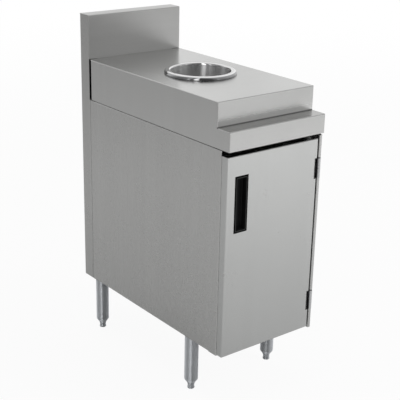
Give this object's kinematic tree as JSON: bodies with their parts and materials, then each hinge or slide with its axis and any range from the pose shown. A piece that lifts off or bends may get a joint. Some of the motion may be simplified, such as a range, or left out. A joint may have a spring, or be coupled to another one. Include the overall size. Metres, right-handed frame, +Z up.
{
  "type": "underbar trash cabinet",
  "caption": "Narrow stainless underbar cabinet with a round rubbish chute in its worktop, a hinged door, a bin inside, a backsplash and tubular legs.",
  "frame": {"origin": "on the floor under the middle of the cabinet's width and depth", "axes": "+X to the right as seen by a person at the door, +Y towards the backsplash, the door faces -Y, +Z up"},
  "size_m": [0.305, 0.648, 0.925],
  "materials": {
    "brushed_stainless": "brushed stainless sheet",
    "satin_stainless": "dull stainless sheet",
    "polished_stainless": "fine turned and polished stainless",
    "mirror_stainless": "mirror polished stainless",
    "zinc_steel": "zinc plated steel",
    "black_plastic": "black satin plastic",
    "grey_plastic": "grained dark grey plastic",
    "ferrite": "bare black ferrite"
  },
  "bodies": {
    "cabinet": {"worktop": "brushed_stainless", "worktop_end_left": "brushed_stainless", "worktop_end_right": "brushed_stainless", "worktop_brace_front": "satin_stainless", "worktop_brace_rear": "satin_stainless", "backsplash": "brushed_stainless", "rear_casing": "brushed_stainless", "left_side_panel": "brushed_stainless", "right_side_panel": "brushed_stainless", "jamb_strip": "zinc_steel", "front_header": "satin_stainless", "front_sill": "satin_stainless", "floor_pan": "satin_stainless", "leg_channel_front": "satin_stainless", "leg_channel_rear": "satin_stainless", "worktop_bolts": "zinc_steel", "worktop_nuts": "zinc_steel", "casing_rivets": "zinc_steel", "leg_socket_front_left": "zinc_steel", "leg_socket_front_right": "zinc_steel", "leg_socket_back_left": "zinc_steel", "leg_socket_back_right": "zinc_steel", "leg_socket_bolts": "zinc_steel", "leg_front_left": "polished_stainless", "leg_front_right": "polished_stainless", "leg_back_left": "polished_stainless", "leg_back_right": "polished_stainless", "upper_hinge_frame_leaf": "polished_stainless", "lower_hinge_frame_leaf": "polished_stainless", "upper_hinge_pin": "polished_stainless", "lower_hinge_pin": "polished_stainless", "frame_hinge_screws": "zinc_steel", "catch_case": "grey_plastic", "catch_magnet": "ferrite", "catch_screws": "zinc_steel"},
    "door": {"door_skin": "brushed_stainless", "door_liner": "satin_stainless", "door_stiffener": "satin_stainless", "door_hinge_strip": "zinc_steel", "handle_cup": "black_plastic", "upper_hinge_door_leaf": "polished_stainless", "lower_hinge_door_leaf": "polished_stainless", "door_hinge_screws": "zinc_steel", "strike_plate": "zinc_steel", "strike_rivets": "zinc_steel"},
    "chute": {"chute": "mirror_stainless"},
    "waste_bin": {"waste_bin": "grey_plastic"},
    "foot_front_left": {"foot_front_left": "polished_stainless"},
    "foot_front_right": {"foot_front_right": "polished_stainless"},
    "foot_back_left": {"foot_back_left": "polished_stainless"},
    "foot_back_right": {"foot_back_right": "polished_stainless"}
  },
  "joints": [
    {"name": "door_hinge", "type": "hinge", "parent": "cabinet", "child": "door", "pos_m": [0.145, -0.3195, 0.421], "axis": [0, 0, 1], "range_deg": [0, 175]},
    {"name": "chute_lift", "type": "slide", "parent": "cabinet", "child": "chute", "axis": [0, 0, 1], "range_m": [0, 0.12]},
    {"name": "bin_lift", "type": "slide", "parent": "cabinet", "child": "waste_bin", "axis": [0, 0, 1], "range_m": [0, 0.06]},
    {"name": "foot_front_left_adjust", "type": "slide", "parent": "cabinet", "child": "foot_front_left", "axis": [0, 0, -1], "range_m": [-0.013, 0.02]},
    {"name": "foot_front_right_adjust", "type": "slide", "parent": "cabinet", "child": "foot_front_right", "axis": [0, 0, -1], "range_m": [-0.013, 0.02]},
    {"name": "foot_back_left_adjust", "type": "slide", "parent": "cabinet", "child": "foot_back_left", "axis": [0, 0, -1], "range_m": [-0.013, 0.02]},
    {"name": "foot_back_right_adjust", "type": "slide", "parent": "cabinet", "child": "foot_back_right", "axis": [0, 0, -1], "range_m": [-0.013, 0.02]}
  ]
}
